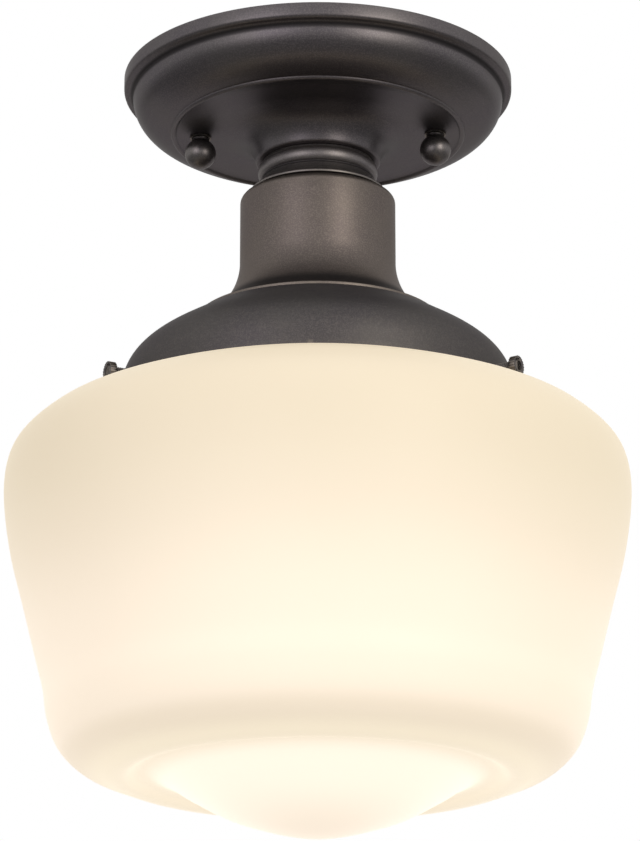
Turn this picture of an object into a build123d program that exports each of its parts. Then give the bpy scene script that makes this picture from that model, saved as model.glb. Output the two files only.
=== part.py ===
"""Semi flush ceiling light with a lit opal glass shade.

Millimetres, +Z up. The origin is the centre of the canopy's ceiling face, so the whole light
hangs below Z = 0. The two ball nuts lie on the X axis, and the thumb screws that hold the
shade are at 90, 210 and 330 degrees.
"""
from build123d import *
from math import cos, radians, sin
import os

os.makedirs("parts", exist_ok=True)

# ---------------------------------------------------------------- driving dimensions
# canopy, a spun steel cover against the ceiling
canopy_radius = 70.6
canopy_sheet = 0.9
canopy_rim_height = 3.8
canopy_groove = (67.6, -6.4)
canopy_roll_start = (67.3, -7.2)
canopy_lip_radius = 52.4
canopy_lip_z = -20.2
canopy_lip_bead = 1.1
canopy_plate_z = -20.5
canopy_plate_inner = 38.0
hub_radius = 22.6
hub_z = -31.8

# crossbar and the screws that carry the canopy
bar_length, bar_width, bar_thickness = 104.0, 17.0, 2.5
box_slot_spacing = 69.85
box_slot_length, box_slot_width = 9.0, 4.6
nut_spacing = 85.4
screw_thread_radius = 2.08
screw_end_z = -29.4
ball_radius = 5.65
ball_centre_z = -27.0

# stem: threaded nipple, collar and sleeve
nipple_radius, nipple_bore = 4.85, 3.3
nipple_top_z, nipple_end_z = -22.5, -103.5
stem_hole = 4.95
nut_flats, nut_height = 14.0, 3.2
collar_bead_radius = 21.7
collar_foot_radius = 24.6
collar_foot_z = -44.3
sleeve_radius, sleeve_wall = 28.0, 1.2
sleeve_top_z = -45.6
sleeve_straight_end_z = -70.8
flange_radius = 44.0
flange_z = -93.0
holder_top_z = -94.2

# shade holder and its thumb screws
holder_radius, holder_sheet = 69.7, 0.9
holder_rim_z = -126.9
screw_azimuths = (90, 210, 330)
thumb_z = -123.9
thumb_shank_radius = 2.0
thumb_tip_r, thumb_end_r = 64.0, 79.4
thumb_head_radius, thumb_head_length = 3.5, 2.4
thumb_teeth = 22

# shade, blown opal glass
glass = 3.0
neck_radius, neck_bead_radius = 60.5, 63.3
neck_top_z, shoulder_z = -118.2, -127.4
shade_body = [
    (74.0, -127.4),
    (79.7, -128.3),
    (91.7, -132.7),
    (99.7, -136.8),
    (107.9, -145.6),
    (110.0, -158.5),
    (107.5, -178.7),
    (102.3, -199.1),
    (97.9, -216.4),
    (94.9, -228.1),
    (93.4, -237.9),
    (90.0, -246.9),
    (83.5, -253.5),
    (75.4, -257.1),
    (68.0, -259.3),
]
groove_handle = 3.3
groove_valley = (60.5, -256.6)
shade_bulge = [groove_valley, (53.4, -258.9), (44.5, -264.4), (28.8, -272.3), (0.0, -278.8)]

# lampholder and lamp
socket_top_z, socket_body_z, socket_mouth_z = -98.6, -106.0, -146.0
socket_radius, socket_bore = 18.0, 14.5
shell_radius, shell_wall = 14.3, 0.6
contact_z = -119.5
bulb_cap_radius = 13.1
bulb_radius, bulb_end_z = 30.0, -228.0


def inset(bezier, depth):
    """Move the four points of a Bezier curve to its left by depth, which gives the sheet's other face."""
    start = (Vector(*bezier[1]) - Vector(*bezier[0])).normalized()
    end = (Vector(*bezier[3]) - Vector(*bezier[2])).normalized()
    normals = [Vector(start.Y, -start.X)] * 2 + [Vector(end.Y, -end.X)] * 2
    return [Vector(*point) + normal * depth for point, normal in zip(bezier, normals)]


def inner_points(points, depth, first, last):
    """Move a spline's points to the inside by depth, with the end directions given."""
    moved = []
    for i, point in enumerate(points):
        if i == 0:
            along = Vector(*first)
        elif i == len(points) - 1:
            along = Vector(*last)
        else:
            along = Vector(*points[i + 1]) - Vector(*points[i - 1])
        along = along.normalized()
        moved.append(Vector(*point) + Vector(along.Y, -along.X) * depth)
    return moved


# ---------------------------------------------------------------- canopy
rim_corner = (canopy_radius - 1.7, -5.6)
roll_end = (canopy_lip_radius + canopy_lip_bead, canopy_lip_z)
roll_curve = [canopy_roll_start, (67.3, -10.6), (65.4, -17.9), roll_end]
hub_side_z = hub_z + 0.8
cove_start = (canopy_plate_inner, canopy_plate_z)
cove_curve = [cove_start, (29.0, canopy_plate_z), (24.2, -24.0), (hub_radius, hub_side_z)]
roll_inner = inset(roll_curve, canopy_sheet)
cove_inner = inset(cove_curve, canopy_sheet)
plate_inner_z = canopy_plate_z + canopy_sheet
hub_inner_z = hub_z + canopy_sheet

with BuildPart() as canopy:
    with BuildSketch(Plane.XZ):
        with BuildLine():
            Line((canopy_radius, 0), (canopy_radius, -canopy_rim_height))
            rim_turn = ThreePointArc(
                (canopy_radius, -canopy_rim_height), (canopy_radius - 0.5, -5.0), rim_corner
            )
            Line(rim_turn @ 1, canopy_groove)
            Line(canopy_groove, canopy_roll_start)
            Bezier(*roll_curve)
            lip = ThreePointArc(
                roll_curve[3],
                (canopy_lip_radius, canopy_lip_z - canopy_lip_bead),
                (canopy_lip_radius - canopy_lip_bead, canopy_lip_z),
            )
            lip_inside = (canopy_lip_radius - canopy_lip_bead - 0.3, canopy_plate_z)
            Line(lip @ 1, lip_inside)
            Line(lip_inside, cove_curve[0])
            Bezier(*cove_curve)
            hub_turn = TangentArc(
                (hub_radius, hub_side_z), (hub_radius - 0.8, hub_z), tangent=(0, -1)
            )
            Polyline(
                hub_turn @ 1,
                (stem_hole, hub_z),
                (stem_hole, hub_inner_z),
                (hub_radius - 1.2, hub_inner_z),
                cove_inner[3],
            )
            Bezier(*cove_inner)
            Polyline(cove_inner[0], (lip_inside[0], plate_inner_z), roll_inner[3])
            Bezier(*roll_inner)
            Polyline(
                roll_inner[0],
                (canopy_groove[0] - 1.0, canopy_groove[1] + 0.8),
                (canopy_radius - canopy_sheet, -4.6),
                (canopy_radius - canopy_sheet, 0),
                (canopy_radius, 0),
            )
        make_face()
    revolve(axis=Axis.Z)
    with Locations((-nut_spacing / 2, 0, plate_inner_z), (nut_spacing / 2, 0, plate_inner_z)):
        Hole(screw_thread_radius + 0.3, depth=2)
canopy.part.label = "canopy"
export_step(canopy.part, "parts/canopy.step")

# insulating pad bonded to the inside of the canopy's plate
pad_thickness = 4.0
with BuildPart() as canopy_pad:
    with BuildSketch(Plane.XY.offset(plate_inner_z)):
        Circle(50.0)
        Circle(38.6, mode=Mode.SUBTRACT)
        with Locations((-nut_spacing / 2, 0), (nut_spacing / 2, 0)):
            Circle(3.2, mode=Mode.SUBTRACT)
    extrude(amount=pad_thickness)
canopy_pad.part.label = "canopy_pad"
export_step(canopy_pad.part, "parts/canopy_pad.step")

# ---------------------------------------------------------------- crossbar and fasteners
ground_screw_x = -18.0
with BuildPart() as crossbar:
    with BuildSketch():
        SlotOverall(bar_length, bar_width)
        Circle(nipple_radius + 1.6, mode=Mode.SUBTRACT)
        with Locations((-box_slot_spacing / 2, 0), (box_slot_spacing / 2, 0)):
            SlotOverall(box_slot_length, box_slot_width, mode=Mode.SUBTRACT)
        with Locations((-nut_spacing / 2, 0), (nut_spacing / 2, 0)):
            Circle(screw_thread_radius, mode=Mode.SUBTRACT)
        with Locations((ground_screw_x, 0)):
            Circle(1.75, mode=Mode.SUBTRACT)
    extrude(amount=-bar_thickness)
    for side in (-1, 1):
        with BuildSketch(Plane.XY):
            with Locations((side * nut_spacing / 2, 0)):
                Circle(3.9)
        extrude(amount=-1.8, taper=45, mode=Mode.SUBTRACT)
crossbar.part.label = "crossbar"
export_step(crossbar.part, "parts/crossbar.step")

with BuildPart() as mounting_screws:
    with BuildSketch(Plane.XZ):
        with BuildLine():
            Polyline(
                (0, -0.1),
                (3.7, -0.1),
                (screw_thread_radius - 0.02, -1.74),
                (screw_thread_radius - 0.02, screw_end_z + 0.6),
                (screw_thread_radius - 0.6, screw_end_z),
                (0, screw_end_z),
                close=True,
            )
        make_face()
    revolve(axis=Axis.Z)
    with BuildSketch(Plane.XY.offset(-0.1)):
        Rectangle(9.0, 0.9)
    extrude(amount=-0.9, mode=Mode.SUBTRACT)
    screw_solid = mounting_screws.part
with BuildPart() as mounting_screws:
    with Locations((-nut_spacing / 2, 0, 0), (nut_spacing / 2, 0, 0)):
        add(screw_solid)
mounting_screws.part.label = "mounting_screws"
export_step(mounting_screws.part, "parts/mounting_screws.step")

washer_thickness = 0.6
washer_top_z = canopy_plate_z - 0.05
for side, name in ((-1, "left"), (1, "right")):
    with BuildPart() as nut_washer:
        with BuildSketch(Plane.XY.offset(washer_top_z)):
            with Locations((side * nut_spacing / 2, 0)):
                Circle(3.9)
                Circle(screw_thread_radius + 0.2, mode=Mode.SUBTRACT)
        extrude(amount=-washer_thickness)
    nut_washer.part.label = f"nut_washer_{name}"
    export_step(nut_washer.part, f"parts/nut_washer_{name}.step")

    with BuildPart() as ball_nut:
        with BuildSketch(Plane.XZ):
            with BuildLine():
                neck_z = washer_top_z - washer_thickness - 0.05
                neck_r = 3.3
                join_z = ball_centre_z + (ball_radius**2 - neck_r**2) ** 0.5
                Polyline(
                    (0, ball_centre_z - ball_radius), (0, neck_z), (neck_r, neck_z), (neck_r, join_z)
                )
                ThreePointArc(
                    (neck_r, join_z), (ball_radius, ball_centre_z), (0, ball_centre_z - ball_radius)
                )
            make_face()
        revolve(axis=Axis.Z)
        with Locations((0, 0, neck_z)):
            Hole(screw_thread_radius + 0.05, depth=neck_z - screw_end_z + 1.0)
        ball_solid = ball_nut.part
    with BuildPart() as ball_nut:
        with Locations((side * nut_spacing / 2, 0, 0)):
            add(ball_solid)
    ball_nut.part.label = f"ball_nut_{name}"
    export_step(ball_nut.part, f"parts/ball_nut_{name}.step")

with BuildPart() as ground_screw:
    with BuildSketch(Plane.XY.offset(-bar_thickness - 1.6)):
        with Locations((ground_screw_x, 0)):
            RegularPolygon(3.9, 6)
    extrude(amount=-2.4)
    with BuildSketch(Plane.XY.offset(-0.3)):
        with Locations((ground_screw_x, 0)):
            Circle(1.73)
    extrude(amount=-bar_thickness - 1.4)
ground_screw.part.label = "ground_screw"
export_step(ground_screw.part, "parts/ground_screw.step")

# ---------------------------------------------------------------- stem
with BuildPart() as nipple:
    with BuildSketch(Plane.XY.offset(nipple_end_z)):
        Circle(nipple_radius)
        Circle(nipple_bore, mode=Mode.SUBTRACT)
    extrude(amount=nipple_top_z - nipple_end_z)
    chamfer(nipple.edges().filter_by(GeomType.CIRCLE).sort_by(SortBy.RADIUS)[-2:], length=0.6)
nipple.part.label = "nipple"
export_step(nipple.part, "parts/nipple.step")

hub_washer_height = 0.8
with BuildPart() as hub_washer:
    with BuildSketch(Plane.XY.offset(hub_inner_z)):
        Circle(9.0)
        Circle(stem_hole, mode=Mode.SUBTRACT)
        with PolarLocations(9.0, 16):
            Circle(0.7, mode=Mode.SUBTRACT)
    extrude(amount=hub_washer_height)
hub_washer.part.label = "hub_washer"
export_step(hub_washer.part, "parts/hub_washer.step")

with BuildPart() as hub_nut:
    with BuildSketch(Plane.XY.offset(hub_inner_z + hub_washer_height)):
        RegularPolygon(nut_flats / 2, 6, major_radius=False)
        Circle(nipple_radius + 0.02, mode=Mode.SUBTRACT)
    extrude(amount=nut_height)
hub_nut.part.label = "hub_nut"
export_step(hub_nut.part, "parts/hub_nut.step")

collar_top_radius = 20.2
bead_top, bead_foot = (20.4, -32.9), (20.2, -38.2)
foot_top = (collar_foot_radius, collar_foot_z + 1.0)
spigot_radius = 22.0
with BuildPart() as collar:
    with BuildSketch(Plane.XZ):
        with BuildLine():
            Polyline((stem_hole, hub_z), (collar_top_radius, hub_z), bead_top)
            ThreePointArc(bead_top, (collar_bead_radius, -35.6), bead_foot)
            Bezier(bead_foot, (20.7, -39.7), (22.0, -42.4), foot_top)
            Polyline(
                foot_top,
                (collar_foot_radius, collar_foot_z),
                (spigot_radius, collar_foot_z),
                (spigot_radius, sleeve_top_z),
                (stem_hole, sleeve_top_z),
                (stem_hole, hub_z),
            )
        make_face()
    revolve(axis=Axis.Z)
collar.part.label = "collar"
export_step(collar.part, "parts/collar.step")

flare_curve = [
    (sleeve_radius, sleeve_straight_end_z),
    (sleeve_radius, sleeve_straight_end_z - 8.2),
    (flange_radius - 10.9, flange_z + 2.0),
    (flange_radius, flange_z),
]
flare_inner = inset(flare_curve, sleeve_wall)
sleeve_shoulder = 2.2
with BuildPart() as sleeve:
    with BuildSketch(Plane.XZ):
        with BuildLine():
            Line((stem_hole, sleeve_top_z), (sleeve_radius - sleeve_shoulder, sleeve_top_z))
            shoulder = TangentArc(
                (sleeve_radius - sleeve_shoulder, sleeve_top_z),
                (sleeve_radius, sleeve_top_z - sleeve_shoulder),
                tangent=(1, 0),
            )
            Line(shoulder @ 1, flare_curve[0])
            Bezier(*flare_curve)
            Polyline(flare_curve[3], (flange_radius, holder_top_z), flare_inner[3])
            Bezier(*flare_inner)
            Polyline(
                flare_inner[0],
                (sleeve_radius - sleeve_wall, sleeve_top_z - sleeve_shoulder),
                (sleeve_radius - sleeve_shoulder, sleeve_top_z - sleeve_wall),
                (stem_hole, sleeve_top_z - sleeve_wall),
                (stem_hole, sleeve_top_z),
            )
        make_face()
    revolve(axis=Axis.Z)
sleeve.part.label = "sleeve"
export_step(sleeve.part, "parts/sleeve.step")

# ---------------------------------------------------------------- shade holder
dome_top = (47.0, -95.3)
blend_curve = [(44.2, holder_top_z), (45.2, holder_top_z), (46.0, -94.65), dome_top]
dome_curve = [dome_top, (57.2, -101.9), (holder_radius, -106.4), (holder_radius, -119.6)]
blend_inner = inset(blend_curve, holder_sheet)
dome_inner = inset(dome_curve, holder_sheet)
with BuildPart() as shade_holder:
    with BuildSketch(Plane.XZ):
        with BuildLine():
            Line((stem_hole, holder_top_z), blend_curve[0])
            Bezier(*blend_curve)
            Bezier(*dome_curve)
            Polyline(
                dome_curve[3],
                (holder_radius, holder_rim_z),
                (holder_radius - holder_sheet, holder_rim_z),
                dome_inner[3],
            )
            Bezier(*dome_inner)
            Line(dome_inner[0], blend_inner[3])
            Bezier(*blend_inner)
            Polyline(
                blend_inner[0], (stem_hole, holder_top_z - holder_sheet), (stem_hole, holder_top_z)
            )
        make_face()
    revolve(axis=Axis.Z)
    for azimuth in screw_azimuths:
        outward = Vector(cos(radians(azimuth)), sin(radians(azimuth)), 0)
        with BuildSketch(Plane(origin=outward * 60 + Vector(0, 0, thumb_z), z_dir=outward)):
            Circle(thumb_shank_radius + 0.05)
        extrude(amount=15, mode=Mode.SUBTRACT)
shade_holder.part.label = "shade_holder"
export_step(shade_holder.part, "parts/shade_holder.step")

# tapped bosses inside the skirt, and the thumb screws
boss_length = 2.4
boss_end_r = holder_radius - holder_sheet - 0.35
with BuildPart() as holder_bosses:
    for azimuth in screw_azimuths:
        outward = Vector(cos(radians(azimuth)), sin(radians(azimuth)), 0)
        boss_base = outward * (boss_end_r - boss_length) + Vector(0, 0, thumb_z)
        with BuildSketch(Plane(origin=boss_base, z_dir=outward)):
            Circle(2.9)
            Circle(thumb_shank_radius + 0.05, mode=Mode.SUBTRACT)
        extrude(amount=boss_length + 0.28)
holder_bosses.part.label = "holder_bosses"
export_step(holder_bosses.part, "parts/holder_bosses.step")

staked_end_radius = 1.2
for number, azimuth in enumerate(screw_azimuths, start=1):
    outward = Vector(cos(radians(azimuth)), sin(radians(azimuth)), 0)
    tip = Plane(origin=outward * thumb_tip_r + Vector(0, 0, thumb_z), z_dir=outward)
    with BuildPart() as screw_shank:
        with BuildSketch(tip):
            Circle(thumb_shank_radius)
        extrude(amount=thumb_end_r - thumb_tip_r)
        chamfer(screw_shank.edges().sort_by(Axis(origin=(0, 0, thumb_z), direction=outward))[0], length=0.6)
        with BuildSketch(tip.offset(thumb_end_r - thumb_tip_r)):
            Circle(staked_end_radius)
        extrude(amount=thumb_head_length - 0.6)
    screw_shank.part.label = f"screw_shank_{number}"
    export_step(screw_shank.part, f"parts/screw_shank_{number}.step")

    head_plane = tip.offset(thumb_end_r - thumb_tip_r + 0.05)
    with BuildPart() as screw_head:
        with BuildSketch(head_plane):
            Circle(thumb_head_radius)
            with PolarLocations(thumb_head_radius + 0.08, thumb_teeth):
                Circle(0.3, mode=Mode.SUBTRACT)
            Circle(staked_end_radius + 0.06, mode=Mode.SUBTRACT)
        extrude(amount=thumb_head_length)
        with BuildSketch(head_plane.offset(thumb_head_length - 0.5)):
            Circle(staked_end_radius + 0.3)
        extrude(amount=0.5)
    screw_head.part.label = f"screw_head_{number}"
    export_step(screw_head.part, f"parts/screw_head_{number}.step")

clamp_washer, clamp_nut = 0.6, 2.8
with BuildPart() as holder_washer:
    with BuildSketch(Plane.XY.offset(holder_top_z - holder_sheet)):
        Circle(11.0)
        Circle(stem_hole, mode=Mode.SUBTRACT)
    extrude(amount=-clamp_washer)
holder_washer.part.label = "holder_washer"
export_step(holder_washer.part, "parts/holder_washer.step")

with BuildPart() as holder_nut:
    with BuildSketch(Plane.XY.offset(holder_top_z - holder_sheet - clamp_washer)):
        RegularPolygon(nut_flats / 2, 6, major_radius=False)
        Circle(nipple_radius + 0.02, mode=Mode.SUBTRACT)
    extrude(amount=-clamp_nut)
holder_nut.part.label = "holder_nut"
export_step(holder_nut.part, "parts/holder_nut.step")

# ---------------------------------------------------------------- shade
body_inner = inner_points(shade_body, glass, (1, 0), (-1, 0))
valley_inner = (groove_valley[0], groove_valley[1] + glass)
bulge_inner = inner_points(shade_bulge, glass, (-1, 0), (-1, 0))
bead_roll, neck_turn = 1.7, 1.8
with BuildPart() as shade:
    with BuildSketch(Plane.XZ):
        with BuildLine():
            bead_edge = neck_bead_radius - bead_roll
            Line((neck_radius - glass, neck_top_z), (bead_edge, neck_top_z))
            bead = ThreePointArc(
                (bead_edge, neck_top_z),
                (neck_bead_radius, neck_top_z - bead_roll),
                (bead_edge, neck_top_z - 2 * bead_roll),
            )
            Line(bead @ 1, (neck_radius, neck_top_z - 2 * bead_roll - 0.2))
            neck_side = Line(
                (neck_radius, neck_top_z - 2 * bead_roll - 0.2), (neck_radius, shoulder_z + neck_turn)
            )
            TangentArc(neck_side @ 1, (neck_radius + neck_turn, shoulder_z), tangent=(0, -1))
            Line((neck_radius + neck_turn, shoulder_z), shade_body[0])
            Spline(*shade_body, tangents=((1, 0), (-1, 0)))
            crest = Vector(*shade_body[-1])
            valley_lead = Vector(*groove_valley) + (groove_handle, 0)
            Bezier(crest, crest - (groove_handle, 0), valley_lead, groove_valley)
            Spline(*shade_bulge, tangents=((-1, 0), (-1, 0)))
            Line(shade_bulge[-1], bulge_inner[-1])
            Spline(*reversed(bulge_inner), tangents=((1, 0), (1, 0)))
            crest_in = body_inner[-1]
            valley_in_lead = Vector(*valley_inner) + (groove_handle, 0)
            Bezier(valley_inner, valley_in_lead, crest_in - (groove_handle, 0), crest_in)
            Spline(*reversed(body_inner), tangents=((1, 0), (-1, 0)))
            inner_shoulder_z = shoulder_z - glass
            Line(body_inner[0], (neck_radius + 1.0, inner_shoulder_z))
            TangentArc(
                (neck_radius + 1.0, inner_shoulder_z),
                (neck_radius - glass, inner_shoulder_z + 4.0),
                tangent=(-1, 0),
            )
            Line((neck_radius - glass, inner_shoulder_z + 4.0), (neck_radius - glass, neck_top_z))
        make_face()
    revolve(axis=Axis.Z)
shade.part.label = "shade"
export_step(shade.part, "parts/shade.step")

# ---------------------------------------------------------------- lampholder
with BuildPart() as socket_cap:
    with BuildSketch(Plane.XZ):
        with BuildLine():
            Polyline(
                (stem_hole, socket_top_z),
                (9.0, socket_top_z),
                (10.5, socket_top_z - 1.5),
                (socket_radius, socket_body_z + 2.0),
                (socket_radius, socket_body_z),
                (stem_hole, socket_body_z),
                close=True,
            )
        make_face()
    revolve(axis=Axis.Z)
socket_cap.part.label = "socket_cap"
export_step(socket_cap.part, "parts/socket_cap.step")

with BuildPart() as socket_body:
    with BuildSketch(Plane.XZ):
        with BuildLine():
            Polyline(
                (0, socket_body_z),
                (socket_radius, socket_body_z),
                (socket_radius, socket_body_z - 12.0),
                (socket_radius - 1.2, socket_body_z - 13.5),
                (socket_radius - 1.2, socket_mouth_z + 1.0),
                (socket_radius - 2.2, socket_mouth_z),
                (socket_bore, socket_mouth_z),
                (socket_bore, contact_z + 1.5),
                (0, contact_z + 1.5),
                close=True,
            )
        make_face()
    revolve(axis=Axis.Z)
    with Locations((-8, 0, socket_body_z), (8, 0, socket_body_z)):
        Hole(1.7, depth=4)
    for side in (-1, 1):
        with Locations((0, side * (socket_radius + 1.5), socket_body_z - 7)):
            Box(8, 8, 7, mode=Mode.SUBTRACT)
socket_body.part.label = "socket_body"
export_step(socket_body.part, "parts/socket_body.step")

with BuildPart() as socket_screws:
    for side in (-1, 1):
        with BuildSketch(Plane.XY.offset(socket_body_z - 3.5)):
            with Locations((side * 8, 0)):
                Circle(1.65)
        extrude(amount=3.5)
socket_screws.part.label = "socket_screws"
export_step(socket_screws.part, "parts/socket_screws.step")

with BuildPart() as terminal_screws:
    for side in (-1, 1):
        face = Plane(origin=(0, side * (socket_radius - 2.45), socket_body_z - 7), z_dir=(0, side, 0))
        with BuildSketch(face):
            Circle(2.6)
        extrude(amount=1.9)
        with BuildSketch(face.offset(1.9)):
            Rectangle(6.0, 0.7)
        extrude(amount=-0.8, mode=Mode.SUBTRACT)
terminal_screws.part.label = "terminal_screws"
export_step(terminal_screws.part, "parts/terminal_screws.step")

shell_top_z = contact_z - 0.5
with BuildPart() as screw_shell:
    with BuildSketch(Plane.XZ):
        with BuildLine():
            Polyline(
                (shell_radius - shell_wall, shell_top_z),
                (shell_radius, shell_top_z),
                (shell_radius, socket_mouth_z + 1.2),
                (shell_radius - shell_wall, socket_mouth_z + 1.2),
                close=True,
            )
        make_face()
    revolve(axis=Axis.Z)
screw_shell.part.label = "screw_shell"
export_step(screw_shell.part, "parts/screw_shell.step")

with BuildPart() as centre_contact:
    with BuildSketch(Plane.XY.offset(contact_z + 1.5)):
        Rectangle(12, 5)
    extrude(amount=-0.6)
    with BuildSketch(Plane.XY.offset(contact_z + 0.9)):
        Circle(2.6)
    extrude(amount=-0.7)
centre_contact.part.label = "centre_contact"
export_step(centre_contact.part, "parts/centre_contact.step")

# ---------------------------------------------------------------- lamp
tip_z = contact_z - 0.2
cap_top_z = tip_z - 3.4
cap_end_z = tip_z - 27.0
thread_count, thread_pitch, thread_depth = 6, 3.63, 0.6
with BuildPart() as bulb_contact:
    with BuildSketch(Plane.XZ):
        with BuildLine():
            contact_foot = tip_z - 1.2
            Polyline((0, tip_z), (2.6, tip_z), (3.6, contact_foot), (0, contact_foot), close=True)
        make_face()
    revolve(axis=Axis.Z)
bulb_contact.part.label = "bulb_contact"
export_step(bulb_contact.part, "parts/bulb_contact.step")

insulator_radius = 9.2
with BuildPart() as bulb_insulator:
    with BuildSketch(Plane.XZ):
        with BuildLine():
            cone_top = tip_z - 1.25
            Polyline(
                (0, cone_top), (4.2, cone_top), (insulator_radius, cap_top_z), (0, cap_top_z), close=True
            )
        make_face()
    revolve(axis=Axis.Z)
bulb_insulator.part.label = "bulb_insulator"
export_step(bulb_insulator.part, "parts/bulb_insulator.step")

with BuildPart() as bulb_cap:
    with BuildSketch(Plane.XZ):
        with BuildLine():
            root = bulb_cap_radius - thread_depth
            Polyline((0, cap_top_z), (insulator_radius, cap_top_z), (root, cap_top_z - 1.0))
            for turn in range(thread_count):
                turn_z = cap_top_z - 1.0 - turn * thread_pitch
                ThreePointArc(
                    (root, turn_z),
                    (bulb_cap_radius, turn_z - thread_pitch / 2),
                    (root, turn_z - thread_pitch),
                )
            turn_z = cap_top_z - 1.0 - thread_count * thread_pitch
            Polyline((root, turn_z), (root, cap_end_z), (0, cap_end_z), (0, cap_top_z))
        make_face()
    revolve(axis=Axis.Z)
bulb_cap.part.label = "bulb_cap"
export_step(bulb_cap.part, "parts/bulb_cap.step")

bulb_centre_z = bulb_end_z + bulb_radius
bulb_neck_radius = 12.9
bulb_wall = 1.0
flank_curve = [
    (bulb_neck_radius + 0.6, cap_end_z - 6.0),
    (bulb_neck_radius + 2.4, cap_end_z - 22.0),
    (bulb_radius, bulb_centre_z + 20.0),
    (bulb_radius, bulb_centre_z),
]
flank_inner = inset(flank_curve, bulb_wall)
with BuildPart() as bulb_globe:
    with BuildSketch(Plane.XZ):
        with BuildLine():
            Line((bulb_neck_radius, cap_end_z), flank_curve[0])
            Bezier(*flank_curve)
            TangentArc(flank_curve[3], (0, bulb_end_z), tangent=(0, -1))
            Line((0, bulb_end_z), (0, bulb_end_z + bulb_wall))
            TangentArc((0, bulb_end_z + bulb_wall), flank_inner[3], tangent=(1, 0))
            Bezier(*flank_inner)
            Polyline(
                flank_inner[0], (bulb_neck_radius - bulb_wall, cap_end_z), (bulb_neck_radius, cap_end_z)
            )
        make_face()
    revolve(axis=Axis.Z)
bulb_globe.part.label = "bulb_globe"
export_step(bulb_globe.part, "parts/bulb_globe.step")

# ---------------------------------------------------------------- internal leads
connector_length = 16.0
connector_z = -9.0
connector_y = 27.0
ground_z = -bar_thickness - 0.85
leads = {
    "live_lead": (
        1.1,
        [
            (1.4, 0, socket_body_z),
            (1.4, 0, -16.0),
            (6.0, 12.0, connector_z),
            (6.0, connector_y, connector_z),
            (14.0, connector_y, connector_z),
        ],
    ),
    "neutral_lead": (
        1.1,
        [
            (-1.4, 0, socket_body_z),
            (-1.4, 0, -16.0),
            (-6.0, 12.0, connector_z),
            (-6.0, connector_y, connector_z),
            (-14.0, connector_y, connector_z),
        ],
    ),
    "ground_wire": (
        0.75,
        [
            (ground_screw_x - 2.7, 3.0, ground_z),
            (ground_screw_x - 2.7, -9.5, ground_z),
            (ground_screw_x - 2.7, -19.0, connector_z),
            (ground_screw_x - 2.7, -connector_y, connector_z),
            (ground_screw_x + 9.0, -connector_y, connector_z),
        ],
    ),
}
for name, (lead_radius, route) in leads.items():
    with BuildPart() as lead:
        with BuildLine() as path:
            FilletPolyline(*route, radius=4.0)
        with BuildSketch(Plane(origin=path.wire() @ 0, z_dir=path.wire() % 0)):
            Circle(lead_radius)
        sweep()
    lead.part.label = name
    export_step(lead.part, f"parts/{name}.step")

connector_starts = [
    (14.0, connector_y, 1),
    (-14.0, connector_y, -1),
    (ground_screw_x + 9.0, -connector_y, 1),
]
with BuildPart() as wire_connectors:
    for x, y, way in connector_starts:
        mouth = Plane(origin=(x, y, connector_z), z_dir=(way, 0, 0))
        with BuildSketch(mouth):
            RegularPolygon(4.6, 6)
        with BuildSketch(mouth.offset(connector_length)):
            RegularPolygon(2.6, 6)
        loft()
wire_connectors.part.label = "wire_connectors"
export_step(wire_connectors.part, "parts/wire_connectors.step")
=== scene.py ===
from math import atan2, cos, pi, radians, sin

import bmesh
import bpy
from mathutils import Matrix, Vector


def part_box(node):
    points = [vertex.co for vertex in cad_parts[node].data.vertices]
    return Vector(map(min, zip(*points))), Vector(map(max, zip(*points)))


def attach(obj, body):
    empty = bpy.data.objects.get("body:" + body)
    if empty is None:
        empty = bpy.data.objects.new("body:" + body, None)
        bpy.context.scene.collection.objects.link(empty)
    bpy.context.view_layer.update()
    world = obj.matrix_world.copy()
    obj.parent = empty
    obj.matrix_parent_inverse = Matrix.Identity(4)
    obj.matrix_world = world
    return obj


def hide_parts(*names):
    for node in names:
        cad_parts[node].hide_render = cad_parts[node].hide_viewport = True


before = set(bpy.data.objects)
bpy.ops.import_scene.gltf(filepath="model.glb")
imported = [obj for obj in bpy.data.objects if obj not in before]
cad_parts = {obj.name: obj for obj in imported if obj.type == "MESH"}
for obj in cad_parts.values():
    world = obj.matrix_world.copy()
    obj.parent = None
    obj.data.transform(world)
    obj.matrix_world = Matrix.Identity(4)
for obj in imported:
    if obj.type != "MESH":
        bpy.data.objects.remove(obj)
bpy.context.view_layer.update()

# ------------------------------------------------------------------------------------------------
# Crossbar and its fasteners
# The bar is stamped from zinc-plated steel and screws to the ceiling box through its two slots.
# Its long screws hang head up in countersunk holes, and a green screw takes the ground wire.
mm = 0.001


class Value:
    """One output of a node. Python's operators on it add the Math nodes."""

    def __init__(self, finish, socket):
        self.finish = finish
        self.socket = socket

    def maths(self, operation, first, second):
        return self.finish.node("ShaderNodeMath", {"operation": operation}, {0: first, 1: second})

    def __add__(self, other):
        return self.maths("ADD", self, other)

    def __sub__(self, other):
        return self.maths("SUBTRACT", self, other)

    def __rsub__(self, other):
        return self.maths("SUBTRACT", other, self)

    def __mul__(self, other):
        return self.maths("MULTIPLY", self, other)

    __radd__ = __add__
    __rmul__ = __mul__


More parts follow.
